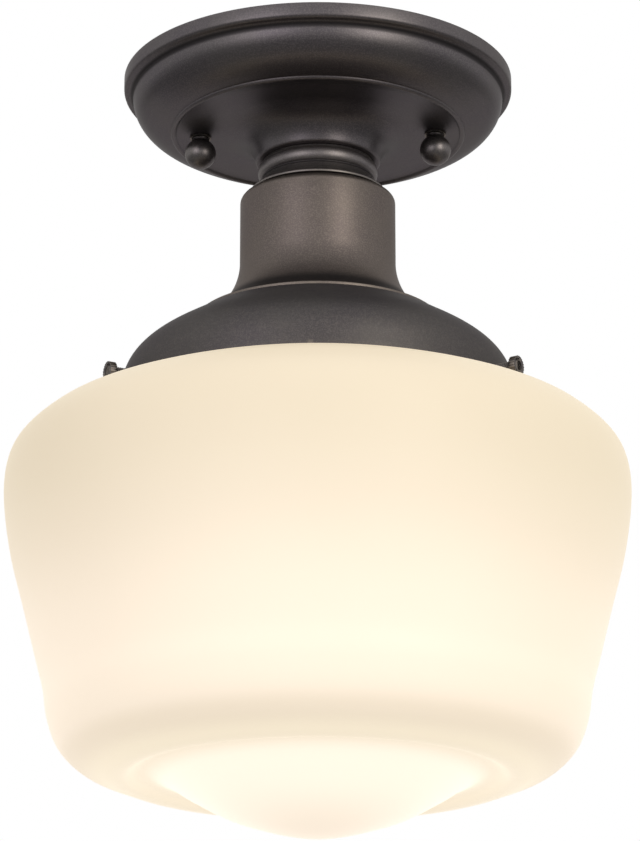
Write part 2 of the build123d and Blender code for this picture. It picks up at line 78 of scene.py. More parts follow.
class Finish:
    """A material while it is being mixed. Every node is added by one method."""

    def __init__(self, name):
        self.material = bpy.data.materials.new(name)
        self.material.use_nodes = True
        self.tree = self.material.node_tree
        self.place = self.node("ShaderNodeTexCoord", {}, {}, "Object")

    def node(self, kind, settings, inputs, output=0):
        """Add a node, with its settings first, then the values or links of its sockets."""
        made = self.tree.nodes.new(kind)
        for name, value in settings.items():
            setattr(made, name, value)
        self.fill(made, inputs)
        return Value(self, made.outputs[output])

    def fill(self, node, inputs):
        for name, value in inputs.items():
            if isinstance(value, Value):
                self.tree.links.new(value.socket, node.inputs[name])
            else:
                node.inputs[name].default_value = value

    def surface(self, **inputs):
        """Set or link the shader's own sockets, named with spaces as underscores."""
        shader = self.tree.nodes["Principled BSDF"]
        self.fill(shader, {name.replace("_", " "): value for name, value in inputs.items()})

    def stretch(self, x, y, z):
        """The place on the piece, scaled along each axis, so that a pattern runs one way."""
        return self.node("ShaderNodeVectorMath", {"operation": "MULTIPLY"}, {0: self.place, 1: (x, y, z)})

    def noise(self, where, scale, detail=3.0):
        return self.node("ShaderNodeTexNoise", {}, {"Vector": where, "Scale": scale, "Detail": detail})

    def rise(self, value, low, high):
        """0 at low, 1 at high and smooth on the way."""
        return self.node(
            "ShaderNodeMapRange",
            {"interpolation_type": "SMOOTHSTEP"},
            {"Value": value, "From Min": low, "From Max": high},
        )

    def mix(self, share, under, over):
        return self.node("ShaderNodeMix", {"data_type": "RGBA"}, {0: share, 6: under, 7: over}, 2)

    def bump(self, height, depth):
        """A relief of that depth in metres, from a height of 0 to 1."""
        return self.node("ShaderNodeBump", {}, {"Height": height, "Distance": depth}, "Normal")

    def worn_edge(self, low, high):
        """1 where an outer edge has been handled, broken up so that it doesn't look drawn. On the bronze it
        also serves as a painted highlight.
        """
        edge = self.node("ShaderNodeNewGeometry", {}, {}, "Pointiness")
        return self.rise(edge + 0.04 * self.noise(self.place, 700.0), low, high)


def dress(finish, *nodes):
    """Give these parts of the frame this finish."""
    for node in nodes:
        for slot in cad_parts[node].material_slots:
            slot.material = finish.material


zinc = Finish("zinc_plate")
cloud = zinc.noise(zinc.place, 90.0)
drawn = zinc.noise(zinc.stretch(60.0, 2400.0, 2400.0), 1.0)
spangle = zinc.noise(zinc.place, 1400.0, 1.0)
plated = zinc.mix(zinc.rise(cloud, 0.35, 0.65), (0.32, 0.33, 0.32, 1), (0.44, 0.43, 0.39, 1))
zinc.surface(
    Base_Color=zinc.mix(zinc.worn_edge(0.53, 0.6), plated, (0.58, 0.58, 0.56, 1)),
    Metallic=1.0,
    Roughness=0.34 + 0.16 * drawn + 0.10 * cloud,
    Normal=zinc.bump(0.6 * drawn + 0.4 * spangle, 0.03 * mm),
)
dress(zinc, "crossbar", "hub_washer", "hub_nut", "holder_washer", "holder_nut")

green_enamel = Finish("green_enamel")
sag = green_enamel.noise(green_enamel.place, 380.0)
green_enamel.surface(
    Base_Color=green_enamel.mix(sag, (0.02, 0.20, 0.06, 1), (0.05, 0.34, 0.12, 1)),
    Roughness=0.24 + 0.2 * sag,
    Normal=green_enamel.bump(sag, 0.06 * mm),
)
dress(green_enamel, "ground_screw")


def threaded_steel(name, axis_x, pitch):
    """Plated steel with a rolled thread round an upright axis, on both sides of the middle."""
    steel = Finish(name)
    split = steel.node("ShaderNodeSeparateXYZ", {}, {0: steel.place}, "X").socket.node
    aside = steel.node("ShaderNodeMath", {"operation": "ABSOLUTE"}, {0: Value(steel, split.outputs["X"])})
    turn = steel.node(
        "ShaderNodeMath", {"operation": "ARCTAN2"}, {0: Value(steel, split.outputs["Y"]), 1: aside - axis_x}
    )
    lift = Value(steel, split.outputs["Z"]) * (1 / pitch) + turn * (0.5 / pi)
    ridge = steel.node("ShaderNodeMath", {"operation": "PINGPONG"}, {0: lift, 1: 0.5}) * 2.0
    oil = steel.noise(steel.place, 260.0)
    # The thread's roots are painted darker than its crests, as painted shade; the oil noise adds a random
    # tone.
    steel.surface(
        Base_Color=steel.mix(ridge * oil, (0.30, 0.28, 0.24, 1), (0.72, 0.69, 0.58, 1)),
        Metallic=1.0,
        Roughness=0.24 + 0.22 * oil,
        Normal=steel.bump(ridge, 0.35 * mm),
    )
    return steel


nut_low, nut_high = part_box("ball_nut_right")
screw_axis_x = (nut_low.x + nut_high.x) / 2
dress(threaded_steel("mounting_thread", screw_axis_x, 0.79 * mm), "mounting_screws")

# ------------------------------------------------------------------------------------------------
# Canopy
# A steel disc spun over a former into a rim, a groove, a fat roll, a beaded lip and a deep dish
# whose middle comes down as a hub. It is bronze plated, blackened in a bath and satin lacquered.
canopy_low, canopy_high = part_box("canopy")
rim_radius = canopy_high.x / mm
hub_face = canopy_low.z / mm
sheet = 0.9
stem_hole = 4.95
rim_height = 3.8
groove = (rim_radius - 3.0, -6.4)
roll_top = (rim_radius - 3.3, -7.2)
lip_radius, lip_height = 52.4, -20.2
dish_height = -20.5


def bend(start, handle, other_handle, end, steps=16):
    """The points along a free curve between two places, without its first."""
    points = []
    for step in range(1, steps + 1):
        t = step / steps
        weights = ((1 - t) ** 3, 3 * t * (1 - t) ** 2, 3 * t * t * (1 - t), t**3)
        curve = (start, handle, other_handle, end)
        points.append(tuple(sum(w * p[i] for w, p in zip(weights, curve)) for i in (0, 1)))
    return points


def turned(name, section, axis_x=0.0, steps=192):
    """Draw a section of (radius, height) points in mm from a plane's middle, and spin it upright."""
    bpy.ops.object.select_all(action="DESELECT")
    start = Vector((axis_x + section[0][0] * mm, 0, section[0][1] * mm))
    bpy.ops.mesh.primitive_plane_add(size=mm, location=start)
    bpy.ops.object.transform_apply(location=True)
    bpy.ops.object.mode_set(mode="EDIT")
    bpy.ops.mesh.select_mode(type="VERT")
    bpy.ops.mesh.select_all(action="SELECT")
    bpy.ops.mesh.merge(type="CENTER")
    for (radius, height), (next_radius, next_height) in zip(section, section[1:]):
        step = ((next_radius - radius) * mm, 0, (next_height - height) * mm)
        bpy.ops.mesh.extrude_vertices_move(TRANSFORM_OT_translate={"value": step})
    bpy.ops.mesh.select_all(action="SELECT")
    bpy.ops.mesh.spin(steps=steps, angle=2 * pi, center=(axis_x, 0, 0), axis=(0, 0, 1))
    bpy.ops.mesh.select_all(action="SELECT")
    bpy.ops.mesh.remove_doubles(threshold=0.004 * mm)
    bpy.ops.mesh.normals_make_consistent(inside=False)
    bpy.ops.object.mode_set(mode="OBJECT")
    piece = bpy.context.object
    piece.name = piece.data.name = name
    return piece


def finish_with(piece, kind, **settings):
    """Add a modifier to the piece and apply it."""
    bpy.ops.object.select_all(action="DESELECT")
    piece.select_set(True)
    bpy.context.view_layer.objects.active = piece
    bpy.ops.object.modifier_add(type=kind)
    modifier = piece.modifiers[-1]
    for name, value in settings.items():
        setattr(modifier, name, value)
    bpy.ops.object.modifier_apply(modifier=modifier.name)


def smooth(piece, width):
    """Round the sharp edges by this many mm and shade the rest smooth."""
    finish_with(piece, "BEVEL", width=width * mm, segments=3, limit_method="ANGLE", angle_limit=radians(38))
    bpy.ops.object.shade_smooth_by_angle(angle=radians(40))


def fit(piece, finish, body, slot, *nodes):
    """Put the finish on a piece and tie it to the body that carries it and the parts it stands for."""
    piece.data.materials.clear()
    piece.data.materials.append(finish.material)
    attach(piece, body)
    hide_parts(*nodes)


def oil_rubbed(name, shaded_hollows, brushed=0.35, tone=1.0, satin=0.34, tint=(1.0, 1.0, 1.0), wear_and_highlight=0.5):
    """Blackened bronze, brushed round the piece. Near each hollow (radius, height, reach) its colour is
    painted near-black as painted shade.
    """
    bronze = Finish(name)
    split = bronze.node("ShaderNodeSeparateXYZ", {}, {0: bronze.place}).socket.node
    flat = bronze.stretch(1.0, 1.0, 0.0)
    radius = bronze.node("ShaderNodeVectorMath", {"operation": "LENGTH"}, {0: flat}, "Value")
    height = Value(bronze, split.outputs["Z"])
    along, across = 50.0, 2600.0
    x, y = Value(bronze, split.outputs["X"]), Value(bronze, split.outputs["Y"])
    by_radius = bronze.node("ShaderNodeCombineXYZ", {}, {0: x * along, 1: y * along, 2: radius * across})
    by_height = bronze.stretch(along, along, across)
    brushing = 0.5 * bronze.noise(by_height, 1.0) + 0.5 * bronze.noise(by_radius, 1.0)
    speck = bronze.noise(bronze.place, 2300.0, 2.0)
    cloud = bronze.noise(bronze.place, 38.0, 4.0)
    around = bronze.node("ShaderNodeCombineXYZ", {}, {0: radius, 1: height})
    # Painted shade: near each hollow the colour is darkened towards near-black and made a little rougher.
    painted_hollow_shade = 0.0
    for ring_radius, ring_height, reach in shaded_hollows:
        ring = (ring_radius * mm, ring_height * mm, 0)
        away = bronze.node("ShaderNodeVectorMath", {"operation": "DISTANCE"}, {0: around, 1: ring}, "Value")
        near = bronze.rise(away, reach * mm, 0.25 * reach * mm)
        painted_hollow_shade = bronze.node("ShaderNodeMath", {"operation": "MAXIMUM"}, {0: near, 1: painted_hollow_shade})
    plum, olive, pale = [
        tuple(tone * part * share for part, share in zip(colour, tint)) + (1,)
        for colour in ((0.085, 0.077, 0.081), (0.096, 0.089, 0.087), (0.127, 0.117, 0.115))
    ]
    brown = bronze.mix(bronze.rise(cloud, 0.36, 0.64), plum, olive)
    grain = brushed * brushing + (1 - brushed) * speck
    grained = bronze.mix(bronze.rise(grain, 0.42, 0.66), brown, pale)
    # Outer edges are lighter: partly wear, partly a painted highlight on the beads, lips and other convex
    # edges.
    worn_and_highlit = bronze.mix(wear_and_highlight * bronze.worn_edge(0.52, 0.58), grained, (0.225, 0.195, 0.160, 1))
    bronze.surface(
        Base_Color=bronze.mix(painted_hollow_shade * 0.85, worn_and_highlit, (0.022, 0.020, 0.021, 1)),
        Metallic=0.92,
        Roughness=satin + 0.06 * brushing + 0.12 * speck + 0.05 * cloud + 0.10 * painted_hollow_shade,
        Specular_Tint=(0.55, 0.54, 0.53, 1),
        Normal=bronze.bump(grain, 0.010 * mm),
    )
    return bronze


lip_bead = 1.1
rim_edge = (rim_radius, -rim_height)
plate_end = (38.0, dish_height)
hub_edge = (22.6, hub_face + 0.8)
canopy_section = [(rim_radius, 0), rim_edge]
canopy_section += bend(rim_edge, (rim_radius, -5.0), (rim_radius - 0.6, -5.45), (rim_radius - 1.7, -5.6), 6)
canopy_section += [groove, roll_top]
canopy_section += bend(roll_top, (67.3, -10.6), (65.4, -17.9), (lip_radius + lip_bead, lip_height), 34)
for degrees in range(20, 161, 20):
    canopy_section.append(
        (lip_radius + lip_bead * cos(radians(degrees)), lip_height - lip_bead * sin(radians(degrees)))
    )
canopy_section += [(lip_radius - lip_bead - 0.1, dish_height), (46.0, dish_height), plate_end]
canopy_section += bend(plate_end, (29.0, dish_height), (24.2, -24.0), hub_edge, 26)
canopy_section += bend(hub_edge, (22.5, hub_face + 0.3), (22.2, hub_face), (21.8, hub_face), 4)
canopy_section += [(12.0, hub_face), (stem_hole, hub_face)]
canopy_cover = turned("canopy_cover", canopy_section, steps=256)
finish_with(canopy_cover, "SOLIDIFY", thickness=sheet * mm, offset=-1, use_even_offset=True)
smooth(canopy_cover, 0.22)
# Painted shade in the groove behind the rim.
canopy_bronze = oil_rubbed(
    "canopy_bronze", [(67.6, -6.8, 1.6)], brushed=0.25, satin=0.30, tint=(1.0, 0.99, 1.03), wear_and_highlight=0.1
)
fit(canopy_cover, canopy_bronze, "fixture", "bronze", "canopy")

# ------------------------------------------------------------------------------------------------
# Insulating pad
# A ring of yellow glass-fibre felt, bonded inside the canopy to keep the lamp's heat off the box.
# Its fibres lie flat and tangled, with a pressed skin on the free face.
felt = Finish("fibre_felt")
fibre = felt.noise(felt.stretch(900.0, 260.0, 900.0), 1.0, 5.0)
cross_fibre = felt.noise(felt.stretch(260.0, 900.0, 900.0), 1.0, 5.0)
clump = felt.noise(felt.place, 120.0)
tangle = felt.rise(clump + 0.4 * fibre, 0.45, 0.95)
felt.surface(
    Base_Color=felt.mix(tangle, (0.62, 0.52, 0.24, 1), (0.86, 0.77, 0.46, 1)),
    Roughness=0.95 - 0.1 * cross_fibre,
    Sheen_Weight=0.3,
    Normal=felt.bump(0.5 * fibre + 0.5 * cross_fibre, 0.5 * mm),
)
dress(felt, "canopy_pad")

# ------------------------------------------------------------------------------------------------
# Ball nuts and their washers
# Two bronzed brass balls, drilled and tapped, that screw up the long screws by hand and clamp the
# canopy to the ceiling. Each has a short round neck and bears on a thin washer.
ball_radius = (nut_high.x - nut_low.x) / 2 / mm
ball_height = nut_low.z / mm + ball_radius
bore = 2.15
nut_neck = 3.3
nut_top = nut_high.z / mm
arc_steps = 28
nut_bronze = oil_rubbed("nut_bronze", [], brushed=0.3, tone=1.25, satin=0.28)
for side, name in ((-1, "left"), (1, "right")):
    ball_section = [(bore, ball_height), (bore, nut_top - 0.4), (2.6, nut_top), (nut_neck, nut_top)]
    throat = (nut_neck, ball_height + (ball_radius**2 - nut_neck**2) ** 0.5)
    ball_section.append((throat[0] - 0.15, (nut_top + throat[1]) / 2))
    first = atan2(throat[1] - ball_height, throat[0])
    for step in range(arc_steps + 1):
        angle = first - (first + pi / 2) * step / arc_steps
        ball_section.append((ball_radius * cos(angle), ball_height + ball_radius * sin(angle)))
    ball_section[-1] = (0, ball_height - ball_radius)
    ball_section += [(0, ball_height - 3.4), (bore, ball_height - 2.9), (bore, ball_height)]
    ball = turned(f"ball_{name}", ball_section, side * screw_axis_x, 96)
    smooth(ball, 0.15)
    fit(ball, nut_bronze, f"nut_turn_{name}", "bronze", f"ball_nut_{name}")
# Painted shade on the washer round the ball's neck.
washer_bronze = oil_rubbed("washer_bronze", [(screw_axis_x / mm, nut_top, 3.4)])
dress(washer_bronze, "nut_washer_left", "nut_washer_right")

# ------------------------------------------------------------------------------------------------
# Stem: threaded nipple, collar and sleeve
# A running-thread steel nipple carries the light. The collar is a cast ring with one bead and a
# wide foot, and the sleeve is drawn tube, flared at its lower end and brushed to a satin sheen.
dress(threaded_steel("nipple_thread", 0.0, 0.94 * mm), "nipple")

collar_low, collar_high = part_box("collar")
foot_radius = collar_high.x / mm
collar_top = collar_high.z / mm
spigot_end = collar_low.z / mm
foot_height = spigot_end + 1.3
spigot_radius = 22.0
bead_top, bead_foot = (20.4, -32.9), (20.2, -38.2)
collar_section = [(stem_hole, collar_top), (20.2, collar_top), bead_top]
collar_section += bend(bead_top, (22.1, -33.4), (22.1, -37.6), bead_foot, 18)
collar_section += bend(bead_foot, (20.7, -39.7), (22.0, -42.4), (foot_radius, foot_height + 1.0), 16)
collar_section += [
    (foot_radius, foot_height),
    (spigot_radius, foot_height),
    (spigot_radius, spigot_end),
    (stem_hole, spigot_end),
    (stem_hole, collar_top),
]
cast_collar = turned("cast_collar", collar_section)
smooth(cast_collar, 0.48)
# Painted shade in the crease under the bead.
collar_bronze = oil_rubbed("collar_bronze", [(20.2, -38.6, 0.8)], brushed=0.3, tone=1.5, satin=0.32)
fit(cast_collar, collar_bronze, "fixture", "bronze", "collar")

sleeve_low, sleeve_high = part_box("sleeve")
flange_radius = sleeve_high.x / mm
sleeve_top = sleeve_high.z / mm
flange_foot = sleeve_low.z / mm
sleeve_radius = 28.0
sleeve_sheet = 1.2
shoulder_round = 2.2
round_radius, round_height = sleeve_radius - shoulder_round, sleeve_top - shoulder_round
flare_start = -70.8
flange_height = flange_foot + sleeve_sheet
sleeve_section = [(stem_hole, sleeve_top), (16.0, sleeve_top), (round_radius, sleeve_top)]
for degrees in range(75, -1, -15):
    out, up = cos(radians(degrees)), sin(radians(degrees))
    sleeve_section.append((round_radius + shoulder_round * out, round_height + shoulder_round * up))
sleeve_section += [(sleeve_radius, -56.0), (sleeve_radius, -64.0), (sleeve_radius, flare_start)]
sleeve_section += bend(
    (sleeve_radius, flare_start),
    (sleeve_radius, flare_start - 8.2),
    (flange_radius - 10.9, flange_height + 2.0),
    (flange_radius, flange_height),
    28,
)
sleeve_section.append((flange_radius, flange_foot))
drawn_sleeve = turned("drawn_sleeve", sleeve_section)
finish_with(drawn_sleeve, "SOLIDIFY", thickness=sleeve_sheet * mm, offset=-1, use_even_offset=True)
smooth(drawn_sleeve, 0.5)
# Painted shade under the collar's foot and on the flare where it sits on the dome.
sleeve_shaded_hollows = [(25.0, -44.8, 1.4), (35.0, -89.5, 7.0)]
sleeve_bronze = oil_rubbed(
    "sleeve_bronze", sleeve_shaded_hollows, brushed=0.15, tone=1.15, satin=0.36, tint=(1.09, 1.0, 0.91)
)
fit(drawn_sleeve, sleeve_bronze, "fixture", "bronze", "sleeve")

# ------------------------------------------------------------------------------------------------
# Shade holder
# A spun steel dome that the stem passes through. Its straight skirt goes over the neck of the
# glass and holds three tapped bosses for the thumb screws. Same blackened bronze as the rest.
holder_low, holder_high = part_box("shade_holder")
skirt_radius = holder_high.x / mm
holder_top = holder_high.z / mm
skirt_end = holder_low.z / mm
seat_edge, dome_top = (44.2, holder_top), (47.0, -95.3)
holder_section = [(stem_hole, holder_top), (24.0, holder_top), seat_edge]
holder_section += bend(seat_edge, (45.2, holder_top), (46.0, -94.65), dome_top, 8)
holder_section += bend(dome_top, (57.2, -101.9), (skirt_radius, -106.4), (skirt_radius, -119.6), 36)
holder_section += [(skirt_radius, -123.0), (skirt_radius, skirt_end)]
spun_holder = turned("spun_holder", holder_section, steps=256)
finish_with(spun_holder, "SOLIDIFY", thickness=sheet * mm, offset=-1, use_even_offset=True)
smooth(spun_holder, 0.25)
holder_bronze = oil_rubbed("holder_bronze", [], brushed=0.2, tone=0.78, satin=0.44)
fit(spun_holder, holder_bronze, "fixture", "bronze", "shade_holder")
dress(holder_bronze, "holder_bosses")

# ------------------------------------------------------------------------------------------------
# Thumb screws
# Three small brass screws with knurled heads, bronzed like the dome, come in through the skirt
# and stop under the glass neck's bead. The head is staked to the shank's end.
thumb_azimuths = (90, 210, 330)
head_low, head_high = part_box("screw_head_1")
shank_low, shank_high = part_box("screw_shank_1")
thumb_height = (head_low.z + head_high.z) / 2
head_radius = (head_high.z - head_low.z) / 2
head_start, head_end = head_low.y, head_high.y
shank_radius = (shank_high.z - shank_low.z) / 2
shank_start, shank_end = shank_low.y, shank_high.y
staked_end = 1.9 * mm
thread_depth = 0.26 * mm
thread_pitch = 0.794 * mm
teeth = 22
tooth = 0.24 * mm


def select_faces(piece, wanted):
    """In edit mode, select the faces whose middle and normal are wanted, and nothing else."""
    bpy.ops.mesh.select_mode(type="FACE")
    bpy.ops.mesh.select_all(action="DESELECT")
    shape = bmesh.from_edit_mesh(piece.data)
    for face in shape.faces:
        face.select_set(wanted(face.calc_center_median(), face.normal))
    bmesh.update_edit_mesh(piece.data)


def round_the_light(piece, name, degrees):
    """A copy of a piece made on the X axis, turned round the light's own axis."""
    copy = piece.copy()
    copy.data = piece.data.copy()
    copy.name = copy.data.name = name
    bpy.context.scene.collection.objects.link(copy)
    copy.rotation_euler.z = radians(degrees)
    bpy.ops.object.select_all(action="DESELECT")
    copy.select_set(True)
    bpy.context.view_layer.objects.active = copy
    bpy.ops.object.transform_apply(rotation=True)
    return copy


bpy.ops.object.select_all(action="DESELECT")
head_middle = (head_start + head_end) / 2
bpy.ops.mesh.primitive_cylinder_add(
    vertices=4 * teeth,
    radius=head_radius - tooth,
    depth=head_end - head_start,
    location=(head_middle, 0, thumb_height),
    rotation=(0, radians(90), 0),
)
bpy.ops.object.transform_apply(location=True, rotation=True)
knob = bpy.context.object
bpy.ops.object.mode_set(mode="EDIT")


def on_a_tooth(middle, normal):
    turn = atan2(middle.z - thumb_height, middle.y) * teeth / pi
    return abs(normal.x) < 0.5 and turn % 2 < 1


select_faces(knob, on_a_tooth)
bpy.ops.mesh.extrude_region_move()
grow = head_radius / (head_radius - tooth)
bpy.ops.transform.resize(value=(1, grow, grow), center_override=(head_middle, 0, thumb_height))
select_faces(knob, lambda middle, normal: normal.x > 0.9 and abs(middle.y) < mm)
for margin, push in ((0.9, -0.3), (0.7, 0.25), (0.35, -0.15)):
    bpy.ops.mesh.inset(thickness=margin * mm)
    bpy.ops.transform.translate(value=(push * mm, 0, 0))
bpy.ops.object.mode_set(mode="OBJECT")
smooth(knob, 0.06)


def threaded_rod(name, radius, depth, pitch, start, end):
    """A rod along X with a cut thread: a modifier winds its section up, and both ends are cut square."""
    bpy.ops.object.select_all(action="DESELECT")
    bpy.ops.mesh.primitive_plane_add(size=mm, location=(start - 2 * pitch, 0, radius - depth))
    bpy.ops.object.transform_apply(location=True)
    bpy.ops.object.mode_set(mode="EDIT")
    bpy.ops.mesh.select_mode(type="VERT")
    bpy.ops.mesh.select_all(action="SELECT")
    bpy.ops.mesh.merge(type="CENTER")
    flanks = ((0.12, 0), (0.32, depth), (0.12, 0), (0.32, -depth), (0.12, 0))
    for along, out in flanks:
        bpy.ops.mesh.extrude_vertices_move(TRANSFORM_OT_translate={"value": (along * pitch, 0, out)})
    bpy.ops.object.mode_set(mode="OBJECT")
    rod = bpy.context.object
    rod.name = rod.data.name = name
    turns = int((end - start) / pitch) + 4
    finish_with(
        rod, "SCREW", axis="X", screw_offset=pitch, iterations=turns, steps=32, render_steps=32,
        use_merge_vertices=True, merge_threshold=0.002 * mm,
    )
    bpy.ops.object.mode_set(mode="EDIT")
    for cut, way in ((start, -1), (end, 1)):
        bpy.ops.mesh.select_all(action="SELECT")
        bpy.ops.mesh.bisect(
            plane_co=(cut, 0, 0), plane_no=(way, 0, 0), use_fill=True, clear_outer=True, threshold=0.0001 * mm
        )
    bpy.ops.mesh.select_all(action="SELECT")
    bpy.ops.mesh.normals_make_consistent(inside=False)
    bpy.ops.object.mode_set(mode="OBJECT")
    return rod


thread_end = shank_end - staked_end
shank = threaded_rod("thumb_shank", shank_radius, thread_depth, thread_pitch, shank_start, thread_end)
bpy.ops.object.mode_set(mode="EDIT")
bpy.ops.mesh.select_all(action="SELECT")
bpy.ops.transform.translate(value=(0, 0, thumb_height))
bpy.ops.object.mode_set(mode="OBJECT")
bpy.ops.object.shade_smooth_by_angle(angle=radians(25))
# Painted shade on the knob's inner end, towards the skirt.
thumb_bronze = oil_rubbed("thumb_bronze", [(head_start / mm, thumb_height / mm, 1.2)])
for number, azimuth in enumerate(thumb_azimuths, start=1):
    this_knob = round_the_light(knob, f"thumb_knob_{number}", azimuth)
    fit(this_knob, thumb_bronze, f"screw_turn_{number}", "bronze", f"screw_head_{number}")
    this_shank = round_the_light(shank, f"thumb_thread_{number}", azimuth)
    fit(this_shank, thumb_bronze, f"screw_travel_{number}", "bronze", f"screw_shank_{number}")
bpy.data.objects.remove(knob)
bpy.data.objects.remove(shank)

# ------------------------------------------------------------------------------------------------
# Lampholder
# A glazed porcelain body under a bronzed cap, with a pressed brass screw shell, a sprung centre
# contact and two brass terminal screws.
porcelain = Finish("glazed_porcelain")
body_tone = porcelain.noise(porcelain.place, 70.0)
fleck = porcelain.rise(porcelain.noise(porcelain.place, 1500.0, 0.0), 0.70, 0.76)
glaze = porcelain.mix(body_tone, (0.80, 0.78, 0.73, 1), (0.88, 0.87, 0.84, 1))
porcelain.surface(
    Base_Color=porcelain.mix(fleck * 0.5, glaze, (0.40, 0.32, 0.24, 1)),
    Roughness=0.10 + 0.10 * body_tone,
    Coat_Weight=0.4,
    Normal=porcelain.bump(porcelain.noise(porcelain.place, 240.0), 0.10 * mm),
)
dress(porcelain, "socket_body")
# Painted shade on the cap where it meets the porcelain body.
dress(oil_rubbed("socket_bronze", [(17.0, -106.0, 2.0)]), "socket_cap")

brass = Finish("pressed_brass")
draw_line = brass.noise(brass.stretch(90.0, 90.0, 1800.0), 1.0)
tarnish = brass.noise(brass.place, 210.0)
brass_tone = brass.mix(brass.rise(tarnish, 0.35, 0.7), (0.74, 0.56, 0.27, 1), (0.50, 0.34, 0.15, 1))
brass.surface(
    Base_Color=brass.mix(brass.worn_edge(0.53, 0.6), brass_tone, (0.86, 0.72, 0.42, 1)),
    Metallic=1.0,
    Roughness=0.22 + 0.16 * draw_line + 0.12 * tarnish,
    Normal=brass.bump(draw_line, 0.02 * mm),
)
dress(brass, "screw_shell", "centre_contact", "terminal_screws", "socket_screws")

# ------------------------------------------------------------------------------------------------
# Lamp
# A round frosted lamp with a rolled screw cap, a black glass insulator and a soldered contact.
# Its glass glows when it is lit, softest where the wall turns into the neck.
frosted = Finish("frosted_lamp_glass")
grain = frosted.noise(frosted.place, 1800.0)
lamp_height = frosted.node("ShaderNodeSeparateXYZ", {}, {0: frosted.place}, "Z")
globe_low, globe_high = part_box("bulb_globe")
lit = frosted.rise(lamp_height, globe_high.z, globe_low.z + 30 * mm)
frosted.surface(
    Base_Color=frosted.mix(grain, (0.78, 0.76, 0.71, 1), (0.84, 0.82, 0.77, 1)),
    Roughness=0.38 + 0.12 * grain,
    Emission_Color=frosted.mix(lit, (0.26, 0.20, 0.12, 1), (0.42, 0.34, 0.22, 1)),
    Emission_Strength=1.0,
    Normal=frosted.bump(grain, 0.01 * mm),
)
dress(frosted, "bulb_globe")

aluminium = Finish("rolled_aluminium")
roll_line = aluminium.noise(aluminium.stretch(70.0, 70.0, 2200.0), 1.0)
scuff = aluminium.noise(aluminium.place, 330.0)
aluminium.surface(
    Base_Color=aluminium.mix(scuff, (0.60, 0.60, 0.61, 1), (0.78, 0.78, 0.78, 1)),
    Metallic=1.0,
    Roughness=0.24 + 0.14 * roll_line + 0.10 * scuff,
    Normal=aluminium.bump(roll_line, 0.02 * mm),
)
dress(aluminium, "bulb_cap")

black_glass = Finish("black_insulator")
swirl = black_glass.noise(black_glass.place, 520.0)
black_glass.surface(
    Base_Color=black_glass.mix(swirl, (0.012, 0.012, 0.016, 1), (0.035, 0.034, 0.042, 1)),
    Roughness=0.10 + 0.14 * swirl,
    Normal=black_glass.bump(swirl, 0.05 * mm),
)
dress(black_glass, "bulb_insulator")

solder = Finish("solder_contact")
lump = solder.noise(solder.place, 900.0)
solder.surface(
    Base_Color=solder.mix(lump, (0.38, 0.38, 0.39, 1), (0.66, 0.66, 0.65, 1)),
    Metallic=1.0,
    Roughness=0.34 + 0.2 * lump,
    Normal=solder.bump(lump, 0.12 * mm),
)
dress(solder, "bulb_contact")

# ------------------------------------------------------------------------------------------------
# Wiring
# One black and one white lead come up the nipple from the lampholder, and a bare copper wire runs
# from the ground screw. Each ends in a twisted-on plastic connector inside the canopy.
def lead_cover(name, dark, light):
    """Extruded insulation with a faint drawn grain and dust."""
    cover = Finish(name)
    dust = cover.noise(cover.place, 800.0)
    run = cover.noise(cover.stretch(1500.0, 1500.0, 200.0), 1.0)
    cover.surface(
        Base_Color=cover.mix(dust, dark, light),
        Roughness=0.38 + 0.18 * run,
        Normal=cover.bump(run, 0.02 * mm),
    )
    return cover


dress(lead_cover("black_insulation", (0.014, 0.014, 0.015, 1), (0.038, 0.037, 0.036, 1)), "live_lead")
dress(lead_cover("white_insulation", (0.70, 0.69, 0.66, 1), (0.82, 0.81, 0.79, 1)), "neutral_lead")

copper = Finish("bare_copper")
stain = copper.noise(copper.place, 420.0)
copper_line = copper.noise(copper.stretch(1600.0, 200.0, 1600.0), 1.0)
copper.surface(
    Base_Color=copper.mix(copper.rise(stain, 0.35, 0.7), (0.78, 0.42, 0.26, 1), (0.42, 0.19, 0.10, 1)),
    Metallic=1.0,
    Roughness=0.26 + 0.2 * copper_line,
    Normal=copper.bump(copper_line, 0.02 * mm),
)
dress(copper, "ground_wire")

nylon = Finish("connector_plastic")
mould = nylon.noise(nylon.place, 1100.0)
nylon.surface(
    Base_Color=nylon.mix(nylon.noise(nylon.place, 160.0), (0.60, 0.17, 0.03, 1), (0.72, 0.26, 0.06, 1)),
    Roughness=0.42 + 0.16 * mould,
    Normal=nylon.bump(mould, 0.04 * mm),
)
dress(nylon, "wire_connectors")

# ------------------------------------------------------------------------------------------------
# Shade
# Blown opal glass in one schoolhouse form: a beaded neck, wide shoulders, sides that draw in, a
# rolled groove and a pendent bulge. The lamp's light through it is a painted glow in the emission,
# brightest on the low sides and the bulge, with painted shade where the wall turns under.
shade_low, shade_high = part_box("shade")
shade_radius = shade_high.x / mm
neck_top = shade_high.z / mm
pendent_tip = shade_low.z / mm
glass = 3.0
neck_radius, bead_radius = 60.5, 63.3
bead_roll = 1.7
shoulder = -127.4
groove_valley = (60.5, -256.6)
sides = [
    (74.0, shoulder),
    (79.7, -128.3),
    (91.7, -132.7),
    (99.7, -136.8),
    (107.9, -145.6),
    (shade_radius, -158.5),
    (107.5, -178.7),
    (102.3, -199.1),
    (97.9, -216.4),
    (94.9, -228.1),
    (93.4, -237.9),
    (90.0, -246.9),
    (83.5, -253.5),
    (75.4, -257.1),
    (68.0, -259.3),
]
pendent = [groove_valley, (53.4, -258.9), (44.5, -264.4), (28.8, -272.3), (0.0, pendent_tip)]


